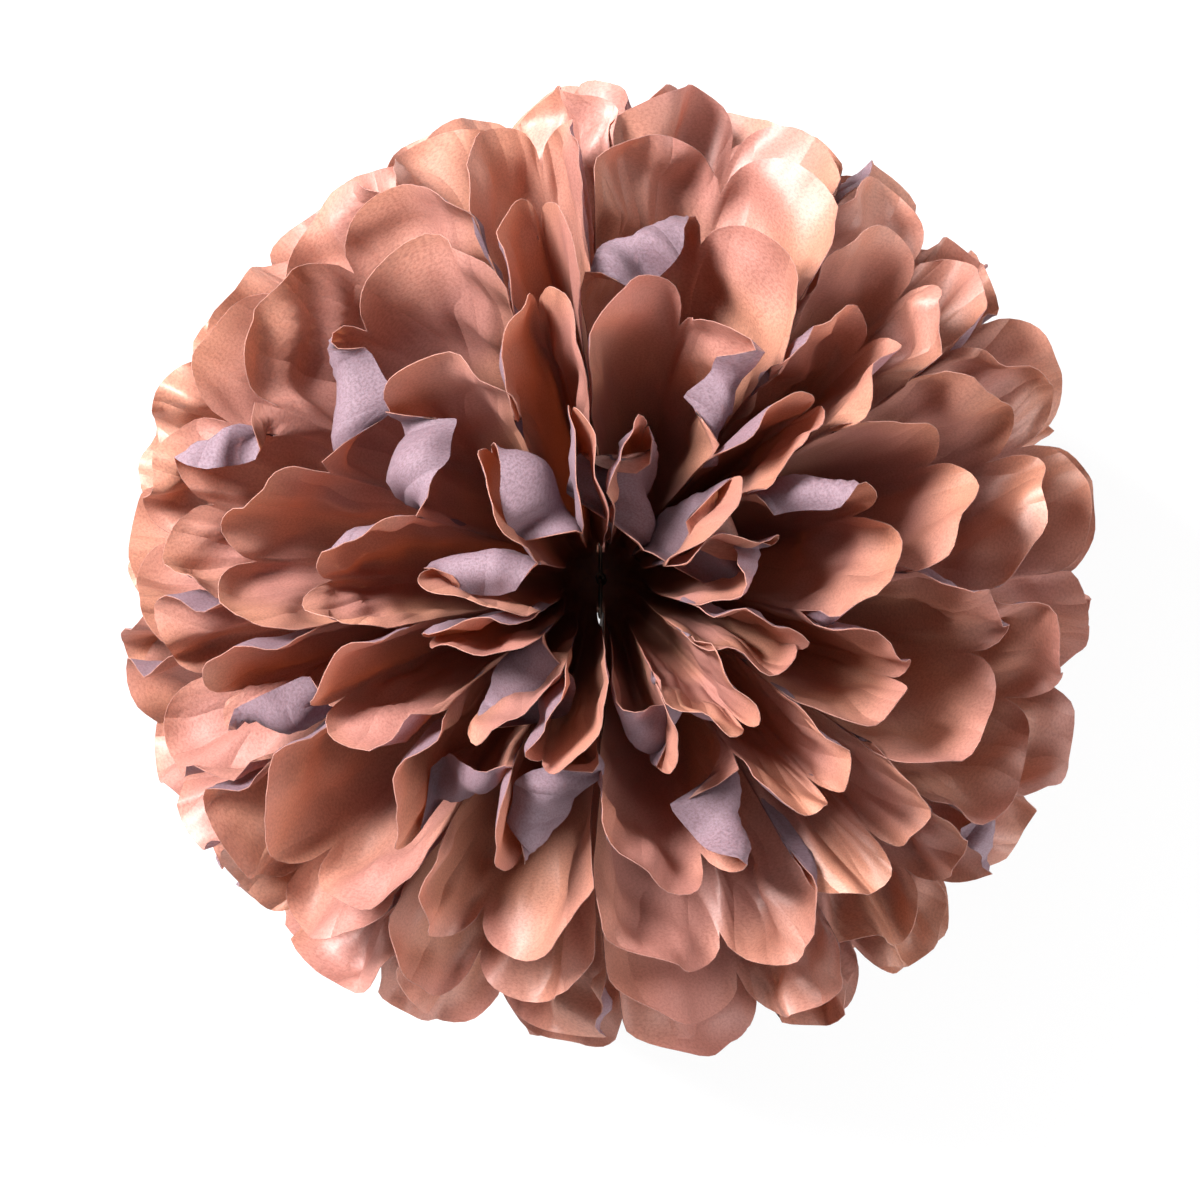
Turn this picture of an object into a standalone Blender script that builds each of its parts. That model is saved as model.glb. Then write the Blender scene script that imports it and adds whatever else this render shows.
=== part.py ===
"""A tissue paper pom pom, standing on a table with its pole upwards.

Twelve sheets of tissue were stacked, pleated into one strip, bound round the
waist with a wire, and cut round at both ends. Each half of the strip then opens
as a fan of pleats, and the sheets are pulled apart one by one: the upper ones
towards the top pole, the lower ones towards the bottom pole. So every sheet is
one piece of paper: a flat waist, and two fans of pleats that end in petals and
meet at a slit on each side, where the wire runs down.

Sizes are in metres. The origin is on the table, under the middle of the tie.
"""

import math
import random

import bmesh
import bpy
from mathutils import Vector

# The ball
BALL_RADIUS = 0.125
FLAT_SPOT_DEPTH = 0.006
STAND_HEIGHT = BALL_RADIUS - FLAT_SPOT_DEPTH

# The paper
SHEETS_PER_SIDE = 6
SHEET_COUNT = 2 * SHEETS_PER_SIDE
PLEATS_PER_FAN = 12
PLEAT_WIDTH = 0.036
PETAL_DEPTH = 0.015
PAPER_THICKNESS = 0.0004
NOTCH_RADIUS = BALL_RADIUS - PETAL_DEPTH

# The waist, where the wire gathers all the sheets
WAIST_RADIUS = 0.0055
LAYER_GAP = 0.0004
LAYER_PITCH = PAPER_THICKNESS + LAYER_GAP
STACK_HEIGHT = (SHEET_COUNT - 1) * LAYER_PITCH + PAPER_THICKNESS

# The wire tie, a loop round the waist whose two ends are twisted together
WIRE_RADIUS = 0.0005
SEAT_CLEARANCE = 0.0003
TWIST_RADIUS = WIRE_RADIUS + SEAT_CLEARANCE
TWIST_LENGTH = 0.016
TWIST_TURNS = 2.5
TWIST_STEPS_PER_TURN = 7
LOOP_CORNER_RADIUS = 0.0014

# The slit between the two fans of a sheet: open beside the wire, all but shut further out
SLIT_AT_WIRE = WIRE_RADIUS + 2 * SEAT_CLEARANCE
SLIT_AT_RIM = PAPER_THICKNESS / 2 + SEAT_CLEARANCE
SLIT_CLOSING_LENGTH = 0.020

# How the sheets were pulled: polar angles are measured from the upper pole
INNERMOST_POLAR = math.radians(15.0)
OUTERMOST_POLAR = math.radians(84.5)
HOLLOW_RADIUS = 0.0075
RISE_LENGTH = 0.013
PLEAT_RAMP_LENGTH = 0.070
STAND_SHARE = 0.94
MOST_STAND = 0.026
MOST_BULGE_SHARE = 0.26
ROOM_TO_BULGE = 0.024

# How unevenly they were pulled
HAND_SEED = 24
POLE_GROUPING = 0.50
EQUATOR_GROUPING = 0.20
PLEAT_SPREAD = 0.15
SHARED_SHARE = 0.68
STAND_SPREAD = 0.12
SHARED_LEAN = math.radians(5.2)
OWN_LEAN = math.radians(1.5)
NOTCH_SPREAD = 0.0035
TIP_SPREAD = 0.0045

# Where the pleats begin to bow, and how far on they do so fully
BOW_START = 0.045
BOW_RAMP_LENGTH = 0.060

# How the petals curl: outwards is positive
MEAN_CURL = math.radians(8.0)
CURL_SPREAD = math.radians(40.0)
ROOM_TO_CURL = 0.032
CURL_TO_EQUATOR = 0.30
CURL_SLANT = math.radians(15.0)
CURL_START = 0.088
CURL_LENGTH = 0.032

# How the hand pulled the whole ball out of true. Each gape is a number of waves
# round the pole, their swing and their phase; each drift is an axis that is
# pushed, the axis that its wave runs along, the wave's length and its phase.
GAPES = ((5, math.radians(4.0), 0.6), (8, math.radians(1.2), 2.0))
HELD_RADIUS = 0.008
HELD_RAMP_LENGTH = 0.040
SLIT_BOW = 0.006
DRIFT = 0.0028
DRIFTS = (
    ("x", "z", 1.04 * BALL_RADIUS, 0.5),
    ("y", "x", 1.20 * BALL_RADIUS, 2.1),
    ("z", "y", 0.96 * BALL_RADIUS, 4.0),
)
SETTLED_HEIGHT = 0.060

# How finely a fold is drawn: its rows, as shares of the way from the waist to the notch
ROW_SHARES = (0.10, 0.30, 0.62)

# The lobe of a petal, as shares of its width and height: three points that enclose
# with its notches almost as much paper as half an ellipse does
LOBE = ((0.22, 0.92), (0.5, 1.0), (0.78, 0.92))

TISSUE_COLOUR = (0.44, 0.165, 0.11, 1.0)
WIRE_COLOUR = (0.50, 0.47, 0.44, 1.0)


def clear_scene():
    """Removes whatever the scene holds."""
    for obj in list(bpy.data.objects):
        bpy.data.objects.remove(obj, do_unlink=True)


def make_material(name, colour, roughness, metallic):
    """A Principled material of one colour."""
    material = bpy.data.materials.new(name)
    material.use_nodes = True
    material.diffuse_color = colour
    shader = material.node_tree.nodes["Principled BSDF"]
    shader.inputs["Base Color"].default_value = colour
    shader.inputs["Roughness"].default_value = roughness
    shader.inputs["Metallic"].default_value = metallic
    return material


def smooth_step(x):
    """0 up to 0, 1 from 1 on, and an S between them."""
    x = min(1.0, max(0.0, x))
    return x * x * (3.0 - 2.0 * x)


class Unevenness:
    """The small differences that the hand left, the same for the same seed.

    Each list has one row a fan, and one value a pleat or a fold.
    """

    def __init__(self, seed):
        draw = random.Random(seed)
        self.cup = [self.values(draw, PLEATS_PER_FAN) for _ in range(2)]
        self.pleat = [self.values(draw, PLEATS_PER_FAN) for _ in range(2)]
        self.lean = [self.values(draw, PLEATS_PER_FAN + 1) for _ in range(2)]
        self.stand = [self.values(draw, PLEATS_PER_FAN + 1) for _ in range(2)]
        self.notch = [self.values(draw, PLEATS_PER_FAN + 1) for _ in range(2)]
        self.tip = [self.values(draw, PLEATS_PER_FAN) for _ in range(2)]
        self.curl = [self.values(draw, PLEATS_PER_FAN) for _ in range(2)]
        self.slant = [self.values(draw, PLEATS_PER_FAN) for _ in range(2)]

    @staticmethod
    def values(draw, count):
        return [draw.uniform(-1.0, 1.0) for _ in range(count)]


class Sheet:
    """One sheet of tissue, as the polar and azimuth angles of its folds."""

    def __init__(self, number, stack):
        """number counts from 0 at the top; stack is what all the sheets share."""
        self.number = number
        self.own = Unevenness(HAND_SEED + 1 + number)
        self.stack = stack
        self.waist_z = ((SHEET_COUNT - 1) / 2 - number) * LAYER_PITCH
        self.waist_radius = WAIST_RADIUS + self.sheets_from_pole() * LAYER_PITCH
        self.waist_reach = math.hypot(self.waist_radius, self.waist_z)
        self.waist_polar = math.atan2(self.waist_radius, self.waist_z)
        self.is_upper = number < SHEETS_PER_SIDE
        self.polar = self.pulled_polar()
        self.shares = [self.fold_shares(fan) for fan in range(2)]
        self.depths = [self.fold_depths(fan) for fan in range(2)]

    def sheets_from_pole(self):
        """How many sheets lie between this one and its pole."""
        return min(self.number, SHEET_COUNT - 1 - self.number)

    def pulled_polar(self):
        """The middle polar angle of the sheet: even steps, mirrored below the equator."""
        step = (OUTERMOST_POLAR - INNERMOST_POLAR) / (SHEETS_PER_SIDE - 1)
        from_pole = INNERMOST_POLAR + step * self.sheets_from_pole()
        return from_pole if self.is_upper else math.pi - from_pole

    def fold_shares(self, fan):
        """How far round the fan each fold lies, from 0 to 1.

        Two pleats that share a fold on the equator's side make a cup that opens
        to the pole. Near a pole some cups gape while others stay almost shut,
        and at the equator they open evenly.
        """
        grouping = EQUATOR_GROUPING + POLE_GROUPING * abs(math.cos(self.polar))
        widths = []
        for pleat in range(PLEATS_PER_FAN):
            cup = pleat // 2 if self.is_upper else (pleat + 1) // 2
            gape = self.mixed("cup", fan, cup)
            widths.append(1.0 + grouping * gape + PLEAT_SPREAD * self.mixed("pleat", fan, pleat))
        shares = [0.0]
        for width in widths:
            shares.append(shares[-1] + width / sum(widths))
        return shares

    def mixed(self, kind, fan, index):
        """A value that is mostly the stack's and partly the sheet's own."""
        common = getattr(self.stack, kind)[fan][index]
        own = getattr(self.own, kind)[fan][index]
        return SHARED_SHARE * common + (1.0 - SHARED_SHARE) * own

    def chord(self, fan, pleat):
        """Distance round the ball between the two folds of a pleat, at its notches."""
        span = self.shares[fan][pleat + 1] - self.shares[fan][pleat]
        ring = NOTCH_RADIUS * math.sin(self.polar)
        return min(ring * math.pi * span, PLEAT_WIDTH)

    def stand(self, fan, pleat):
        """How far a pleat stands up from the ball's ring, at its notches.

        A pleat keeps its width, so where it spans little of the ring it stands
        deep: stand and chord are the short sides of a right triangle on that
        width, apart from what the bulge takes up.
        """
        chord = self.chord(fan, pleat)
        return min(MOST_STAND, STAND_SHARE * math.sqrt(PLEAT_WIDTH**2 - chord**2))

    def bulge(self, fan, pleat):
        """How far the middle of a pleat bows out between its notches.

        The height of a shallow arc on a straight line is the root of three
        eighths of the arc's length times what it is longer by. Where pleats stand
        close together there is no room for that much.
        """
        chord = self.chord(fan, pleat)
        straight = math.hypot(chord, self.stand(fan, pleat))
        height = math.sqrt(3 / 8 * PLEAT_WIDTH * max(0.0, PLEAT_WIDTH - straight))
        room = min(1.0, chord / ROOM_TO_BULGE)
        return min(height, room * MOST_BULGE_SHARE * chord)

    def fold_depths(self, fan):
        """Half the polar angle between a fold and its neighbours, at the notches."""
        stands = [self.stand(fan, pleat) for pleat in range(PLEATS_PER_FAN)]
        depths = []
        for fold in range(PLEATS_PER_FAN + 1):
            beside = stands[max(0, fold - 1) : fold + 1]
            uneven = 1.0 + STAND_SPREAD * self.stack.stand[fan][fold]
            depths.append(uneven * sum(beside) / len(beside) / (2.0 * NOTCH_RADIUS))
        return depths

    def fold_polar(self, fan, fold, reach):
        """Polar angle of a fold at a distance from the ball's centre.

        The sheet rises from its place in the waist stack to the angle that it
        was pulled to, and its pleats deepen on the way. Every other fold leans
        to the upper pole, in all the sheets alike, and more so where the ring is
        wide; none closes the hollow down to the tie.
        """
        climbed = 1.0 - math.exp(-(reach - self.waist_reach) / RISE_LENGTH)
        ramp = smooth_step((reach - self.waist_reach) / PLEAT_RAMP_LENGTH)
        lean = SHARED_LEAN * self.stack.lean[fan][fold]
        lean += OWN_LEAN * self.own.lean[fan][fold]
        lean *= math.sin(self.polar)
        side = -1.0 if fold % 2 == 0 else 1.0
        middle = self.waist_polar + (self.polar - self.waist_polar) * climbed
        polar = middle + ramp * (side * self.depths[fan][fold] + lean)
        least = math.asin(min(1.0, ramp * HOLLOW_RADIUS / reach))
        return min(math.pi - least, max(least, polar))

    def place(self, fan, share, polar, reach, turn=0.0):
        """The point at a share of the way round a fan, clear of the slits.

        turn is added to its azimuth.
        """
        ring = reach * math.sin(polar)
        closing = smooth_step((ring - self.waist_radius) / SLIT_CLOSING_LENGTH)
        half_slit = SLIT_AT_WIRE + (SLIT_AT_RIM - SLIT_AT_WIRE) * closing
        slit = math.asin(min(1.0, half_slit / ring))
        azimuth = math.pi * fan - math.pi / 2 + slit + share * (math.pi - 2 * slit) + turn
        across = Vector((math.cos(azimuth), math.sin(azimuth), 0.0))
        return ring * across + Vector((0.0, 0.0, reach * math.cos(polar)))

    def notch_reach(self, fan, fold):
        """Distance of the notch between two petals from the ball's centre."""
        reach = NOTCH_RADIUS - NOTCH_SPREAD * (1.0 + self.mixed("notch", fan, fold)) / 2
        polar = self.fold_polar(fan, fold, reach)
        return min(reach, standing_reach(polar) - PETAL_DEPTH)

    def fold_line(self, fan, fold):
        """The points of a fold, from the waist to its notch."""
        notch = self.notch_reach(fan, fold)
        line = []
        for share in (0.0, *ROW_SHARES, 1.0):
            reach = self.waist_reach + (notch - self.waist_reach) * share
            polar = self.fold_polar(fan, fold, reach)
            line.append(pulled(self.place(fan, self.shares[fan][fold], polar, reach)))
        return line

    def bowed(self, fan, pleat, t, reach):
        """The point of a pleat at a share t of its width, bowed out to the equator.

        The bow is square to the straight line between the folds, and highest
        half way: 4 t (1 - t) times the bulge.
        """
        near, far = (self.fold_polar(fan, fold, reach) for fold in (pleat, pleat + 1))
        start, end = self.shares[fan][pleat : pleat + 2]
        polar = near + (far - near) * t
        ring = reach * math.sin(polar)
        along_ring, along_polar = ring * math.pi * (end - start), reach * (far - near)
        straight = math.hypot(along_ring, along_polar)
        opened = smooth_step((reach - BOW_START) / BOW_RAMP_LENGTH)
        bow = 4.0 * t * (1.0 - t) * self.bulge(fan, pleat) * opened
        bow = bow if self.is_upper else -bow
        turn = -bow * along_polar / straight / ring
        polar += bow * along_ring / straight / reach
        return self.place(fan, start + (end - start) * t, polar, reach, turn)

    def curled(self, fan, pleat, t, reach):
        """The bowed point, taken along by the petal's curl.

        Past a slanting crease the petal goes round a circle until it has turned
        far enough, and straight on from there. It curls less where its neighbours
        are close or the other half of the ball is, and not at all at the folds and
        at the table.
        """
        point = self.bowed(fan, pleat, t, reach)
        room = min(1.0, self.chord(fan, pleat) / ROOM_TO_CURL) ** 2
        turn = room * (MEAN_CURL + CURL_SPREAD * self.mixed("curl", fan, pleat))
        if turn > 0.0 and self.sheets_from_pole() == SHEETS_PER_SIDE - 1:
            turn *= CURL_TO_EQUATOR
        slant = CURL_SLANT * self.mixed("slant", fan, pleat)
        past = (t - 0.5) * PLEAT_WIDTH * math.sin(slant) + (reach - CURL_START) * math.cos(slant)
        if past <= 0.0:
            return point
        radius = CURL_LENGTH / max(abs(turn), 0.2)
        angle = min(past / radius, abs(turn))
        rest = past - angle * radius
        forward = radius * math.sin(angle) + rest * math.cos(angle) - past
        lift = radius * (1.0 - math.cos(angle)) + rest * math.sin(angle)
        radial = point.normalized()
        beside = (self.bowed(fan, pleat, t + 0.01, reach) - point).normalized()
        outwards = beside.cross(radial).normalized()
        if (turn > 0.0) != self.is_upper:
            outwards.negate()
        along = radial * math.cos(slant) + beside * math.sin(slant)
        share = math.sin(math.pi * t) ** 2 * settled(point.z)
        return point + share * (forward * along + lift * outwards)

    def petal_middle(self, fan, pleat):
        """The middle of a pleat on the line of its notches."""
        notches = [self.notch_reach(fan, fold) for fold in (pleat, pleat + 1)]
        return pulled(self.curled(fan, pleat, 0.5, sum(notches) / 2))

    def petal_outline(self, fan, pleat):
        """The cut edge of a petal, as three points of a round lobe on its notches."""
        start, end = (self.notch_reach(fan, fold) for fold in (pleat, pleat + 1))
        tip = BALL_RADIUS - TIP_SPREAD * (1.0 + self.own.tip[fan][pleat]) / 2
        outline = []
        for t, height in LOBE:
            low = start + (end - start) * t
            reach = low + height * (tip - low)
            flat = self.bowed(fan, pleat, t, reach)
            reach = min(reach, standing_reach(math.acos(flat.z / flat.length)))
            outline.append(pulled(self.curled(fan, pleat, t, reach)))
        return outline


def settled(z):
    """0 at the table and 1 well above it, for what the ball's weight irons out."""
    return smooth_step((z + STAND_HEIGHT) / SETTLED_HEIGHT)


def pulled(point):
    """Where the hand's uneven pull takes a point, the same for all the sheets.

    Near a pole the gapes swing it round the axis, out at the rim the slit bows
    over to +X, and everywhere the drifts push one axis by a wave along another.
    The waist and the hollow round the axis are held.
    """
    ring = math.hypot(point.x, point.y)
    azimuth = math.atan2(point.y, point.x)
    swing = sum(far * math.sin(count * azimuth + phase) for count, far, phase in GAPES)
    free = smooth_step((ring - HELD_RADIUS) / HELD_RAMP_LENGTH)
    azimuth += free * swing * smooth_step(abs(point.z) / point.length / 0.9)
    x, y = ring * math.cos(azimuth), ring * math.sin(azimuth)
    x += SLIT_BOW * (y / BALL_RADIUS) ** 2 * (1.0 - (x / BALL_RADIUS) ** 2)
    moved = Vector((x, y, point.z))
    share = DRIFT * free * smooth_step(point.length / BALL_RADIUS) * settled(point.z)
    for pushed, along, length, phase in DRIFTS:
        wave = math.sin(2.0 * math.pi * getattr(point, along) / length + phase)
        setattr(moved, pushed, getattr(moved, pushed) + share * wave)
    return moved


def standing_reach(polar):
    """How far a petal may reach before it touches the table."""
    if math.cos(polar) >= 0.0:
        return BALL_RADIUS
    return min(BALL_RADIUS, STAND_HEIGHT / -math.cos(polar))


def add_pleat(bm, sheet, fan, pleat, left, right):
    """One pleat between two folds: a flat foot, a bowed top and a round petal."""
    for row in range(len(left) - 2):
        bm.faces.new((left[row], left[row + 1], right[row + 1], right[row]))
    start, end = left[-1], right[-1]
    middle = bm.verts.new(sheet.petal_middle(fan, pleat))
    outline = sheet.petal_outline(fan, pleat)
    shoulder, tip, far_shoulder = (bm.verts.new(point) for point in outline)
    bm.faces.new((left[-2], start, middle))
    bm.faces.new((left[-2], middle, right[-2]))
    bm.faces.new((right[-2], middle, end))
    bm.faces.new((start, shoulder, tip, middle))
    bm.faces.new((middle, tip, far_shoulder, end))


def sheet_surface(sheet):
    """The sheet as an open surface: waist, pleats and petals, with no thickness."""
    bm = bmesh.new()
    waist_edge = []
    for fan in range(2):
        lines = [
            [bm.verts.new(point) for point in sheet.fold_line(fan, fold)]
            for fold in range(PLEATS_PER_FAN + 1)
        ]
        waist_edge.extend(line[0] for line in lines)
        for pleat in range(PLEATS_PER_FAN):
            add_pleat(bm, sheet, fan, pleat, lines[pleat], lines[pleat + 1])
    bm.faces.new(waist_edge)
    bmesh.ops.recalc_face_normals(bm, faces=bm.faces)
    return bm


def make_sheet(sheet, material, collection):
    """A sheet object: the open surface, with half its thickness on each side."""
    name = f"tissue_sheet_{sheet.number + 1:02d}"
    mesh = bpy.data.meshes.new(name)
    bm = sheet_surface(sheet)
    bm.to_mesh(mesh)
    bm.free()
    mesh.materials.append(material)
    obj = bpy.data.objects.new(name, mesh)
    obj.location = (0.0, 0.0, STAND_HEIGHT)
    thicken = obj.modifiers.new("Thickness", "SOLIDIFY")
    thicken.thickness = PAPER_THICKNESS
    thicken.offset = 0.0
    collection.objects.link(obj)
    return obj


def corner(centre, start_degrees, steps=3):
    """A quarter turn of the loop in the YZ plane, as points round its centre."""
    points = []
    for step in range(steps + 1):
        angle = math.radians(start_degrees - 90.0 * step / steps)
        across = LOOP_CORNER_RADIUS * math.cos(angle)
        up = LOOP_CORNER_RADIUS * math.sin(angle)
        points.append(Vector((0.0, centre[0] + across, centre[1] + up)))
    return points


def twist_strand(base_z, side):
    """One wire of the twisted end, from its base upwards."""
    steps = round(TWIST_TURNS * TWIST_STEPS_PER_TURN)
    points = []
    for step in range(steps + 1):
        angle = side * math.pi / 2 + 2 * math.pi * TWIST_TURNS * step / steps
        points.append(
            Vector(
                (
                    TWIST_RADIUS * math.cos(angle),
                    TWIST_RADIUS * math.sin(angle),
                    base_z + TWIST_LENGTH * step / steps,
                )
            )
        )
    return points


def make_tie(material, collection):
    """The wire: up one strand of the twist, round the waist, and back up the other."""
    seat = SEAT_CLEARANCE + WIRE_RADIUS
    leg_z = STACK_HEIGHT / 2 + seat
    leg_y = WAIST_RADIUS + (SHEETS_PER_SIDE - 1) * LAYER_PITCH + seat
    in_z, in_y = leg_z - LOOP_CORNER_RADIUS, leg_y - LOOP_CORNER_RADIUS
    twist_base = leg_z + LOOP_CORNER_RADIUS
    path = list(reversed(twist_strand(twist_base, 1.0)))
    path.append(Vector((0.0, TWIST_RADIUS + 0.5 * LOOP_CORNER_RADIUS, leg_z)))
    path += corner((in_y, in_z), 90.0)
    path += corner((in_y, -in_z), 0.0)
    path += corner((-in_y, -in_z), -90.0)
    path += corner((-in_y, in_z), -180.0)
    path.append(Vector((0.0, -TWIST_RADIUS - 0.5 * LOOP_CORNER_RADIUS, leg_z)))
    path += twist_strand(twist_base, -1.0)
    curve = bpy.data.curves.new("tie_wire", "CURVE")
    curve.dimensions = "3D"
    curve.bevel_depth = WIRE_RADIUS
    curve.bevel_resolution = 1
    curve.use_fill_caps = True
    spline = curve.splines.new("POLY")
    spline.points.add(len(path) - 1)
    for point, place in zip(spline.points, path):
        point.co = (*place, 1.0)
    curve.materials.append(material)
    obj = bpy.data.objects.new("tie_wire", curve)
    obj.location = (0.0, 0.0, STAND_HEIGHT)
    collection.objects.link(obj)
    return obj


def main():
    clear_scene()
    collection = bpy.data.collections.new("tissue_pom_pom")
    bpy.context.scene.collection.children.link(collection)
    tissue = make_material("tissue_paper", TISSUE_COLOUR, 0.6, 0.0)
    wire = make_material("tie_wire", WIRE_COLOUR, 0.35, 1.0)
    stack = Unevenness(HAND_SEED)
    for number in range(SHEET_COUNT):
        make_sheet(Sheet(number, stack), tissue, collection)
    make_tie(wire, collection)


main()
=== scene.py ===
"""Looks of a tissue paper pom pom that stands on its petals, seen down its upper pole.

Twelve sheets of one-side-printed tissue are each a single surface of two
parameters: how far round the fan, counted in pleats, and how far from the
waist. The fold lines repeat the solids' own, and everything between them is
bowed, curled and crumpled as thin paper is. Lengths are in metres.
"""

import logging
import math
import random
from dataclasses import dataclass, field
from enum import Enum
from typing import Callable

import bpy
import numpy as np
from mathutils import Matrix, Vector


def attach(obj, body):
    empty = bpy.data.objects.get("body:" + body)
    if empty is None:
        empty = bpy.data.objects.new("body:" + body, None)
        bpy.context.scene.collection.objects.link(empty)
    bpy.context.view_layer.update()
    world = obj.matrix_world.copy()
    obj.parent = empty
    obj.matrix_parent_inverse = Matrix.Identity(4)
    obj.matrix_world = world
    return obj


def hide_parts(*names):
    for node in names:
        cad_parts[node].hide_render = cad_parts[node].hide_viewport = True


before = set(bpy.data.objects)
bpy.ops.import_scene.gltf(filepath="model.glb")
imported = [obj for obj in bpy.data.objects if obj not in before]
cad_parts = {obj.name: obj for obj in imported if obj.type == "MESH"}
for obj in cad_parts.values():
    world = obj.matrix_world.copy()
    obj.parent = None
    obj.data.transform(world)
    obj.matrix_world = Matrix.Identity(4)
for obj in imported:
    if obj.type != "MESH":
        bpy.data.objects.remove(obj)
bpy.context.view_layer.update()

LOG = logging.getLogger("pom_pom")
MM = 0.001
FANS = 2
# Step on the paper that shows which way the curled sheet runs
SURFACE_STEP = 0.4 * MM
# Each purpose draws from its own seed, which starts from the ball's times one of these
HANDLING_DRAWS = 7
CRUMPLE_DRAWS = 100


class PaperFace(Enum):
    """The faces of a sheet, in the order of its material slots."""

    PRINTED = 0
    BARE = 1
    CUT = 2


def linear(hex_colour: str) -> tuple[float, float, float, float]:
    """Turns an sRGB colour into linear light.

    Args:
        hex_colour: Six hex digits, as in "a8695a".

    Returns:
        Red, green, blue and an alpha of 1.
    """
    values = [int(hex_colour[i : i + 2], 16) / 255 for i in (0, 2, 4)]
    light = [v / 12.92 if v <= 0.04045 else ((v + 0.055) / 1.055) ** 2.4 for v in values]
    return (light[0], light[1], light[2], 1.0)


def smooth(x: np.ndarray) -> np.ndarray:
    """0 up to 0, 1 from 1 on, and three x squared less two x cubed between them."""
    x = np.clip(x, 0.0, 1.0)
    return x * x * (3.0 - 2.0 * x)


def unit(vectors: np.ndarray) -> np.ndarray:
    """Each vector divided by its own length."""
    return vectors / np.maximum(np.linalg.norm(vectors, axis=-1, keepdims=True), 1e-12)


@dataclass(frozen=True)
class Ball:
    """Sizes that all the sheets share, with the same values as the solids have."""

    radius: float = 0.125
    stand_height: float = 0.119
    sheets_per_side: int = 6
    pleats: int = 12
    pleat_width: float = 0.036
    petal_depth: float = 0.015
    layer_pitch: float = 0.0008
    waist_radius: float = 0.0055
    slit_at_wire: float = 0.0011
    slit_at_rim: float = 0.0005
    slit_closing: float = 0.020
    innermost_polar: float = math.radians(15.0)
    outermost_polar: float = math.radians(84.5)
    hollow_radius: float = 0.0075
    rise_length: float = 0.013
    pleat_ramp: float = 0.070
    stand_share: float = 0.94
    most_stand: float = 0.026
    most_bulge_share: float = 0.26
    room_to_bulge: float = 0.024
    bow_start: float = 0.045
    bow_ramp: float = 0.060
    pole_grouping: float = 0.50
    equator_grouping: float = 0.20
    pleat_spread: float = 0.15
    shared_share: float = 0.68
    stand_spread: float = 0.12
    shared_lean: float = math.radians(5.2)
    own_lean: float = math.radians(1.5)
    notch_spread: float = 0.0035
    tip_spread: float = 0.0045
    mean_curl: float = math.radians(8.0)
    curl_spread: float = math.radians(40.0)
    room_to_curl: float = 0.032
    curl_to_equator: float = 0.30
    curl_slant: float = math.radians(15.0)
    curl_start: float = 0.088
    curl_length: float = 0.032
    least_turn: float = 0.2
    settled_height: float = 0.060
    seed: int = 24

    @property
    def sheets(self) -> int:
        """How many sheets the ball has."""
        return 2 * self.sheets_per_side

    @property
    def notch_radius(self) -> float:
        """Distance of a notch from the ball's centre."""
        return self.radius - self.petal_depth

    def standing_reach(self, polar: np.ndarray) -> np.ndarray:
        """How far a petal may reach before it touches the table."""
        down = np.maximum(-np.cos(polar), 1e-6)
        return np.minimum(self.radius, self.stand_height / down)

    def settled(self, z: np.ndarray) -> np.ndarray:
        """0 at the table and 1 well above it, for what the ball's weight irons out."""
        return smooth((z + self.stand_height) / self.settled_height)


class Unevenness:
    """The small differences that the hand left, one row a fan, drawn as for the solids.

    Each row holds values from -1 to 1, which the ball's spreads turn into sizes.
    """

    def __init__(self, pleats: int, seed: int) -> None:
        """Draws every value.

        Args:
            pleats: Pleats in a fan.
            seed: Seed of the draws.
        """
        draw = random.Random(seed)
        self.cup = self.rows(draw, pleats)
        self.pleat = self.rows(draw, pleats)
        self.lean = self.rows(draw, pleats + 1)
        self.stand = self.rows(draw, pleats + 1)
        self.notch = self.rows(draw, pleats + 1)
        self.tip = self.rows(draw, pleats)
        self.curl = self.rows(draw, pleats)
        self.slant = self.rows(draw, pleats)

    @staticmethod
    def rows(draw: random.Random, count: int) -> np.ndarray:
        """A row of values from -1 to 1 for each fan."""
        return np.array([[draw.uniform(-1.0, 1.0) for _ in range(count)] for _ in range(FANS)])


@dataclass(frozen=True)
class Softness:
    """How thin paper rounds off what the solids have as straight folds and even lobes.

    Attributes:
        crest: Half the width of a rounded crest, in pleats.
        valley: Half the width of a rounded valley near the waist, in pleats.
        valley_gain: What that gains towards the rim, in pleats.
        gain_start: Distance from the ball's centre at which it starts to gain.
        gain_ramp: How much further out it has gained it all.
        beside: Step to the place that shows which way the sheet runs, in pleats.
        most_skew: The most that a lobe is cut askew.
        cut_wave: Height of the waves that the scissors leave on the edge.
        cut_waves: How many of them a petal has.
    """

    crest: float = 0.07
    valley: float = 0.12
    valley_gain: float = 0.08
    gain_start: float = 0.03
    gain_ramp: float = 0.08
    beside: float = 0.01
    most_skew: float = 0.5
    cut_wave: float = 0.7 * MM
    cut_waves: float = 1.8


@dataclass(frozen=True)
class Roll:
    """A tip rolled over a straight crease, in a petal's flat coordinates.

    Attributes:
        depth: How far the crease lies below the tip, on the petal's middle line.
        slant: Angle between the crease's normal and the petal's middle line.
        radius: Radius of the roll.
        turn: Angle that the tip is turned through, towards the pole.
        hold: Share of a pleat over which the roll dies out at each fold.
    """

    depth: float
    slant: float
    radius: float
    turn: float
    hold: float = 0.12


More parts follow.
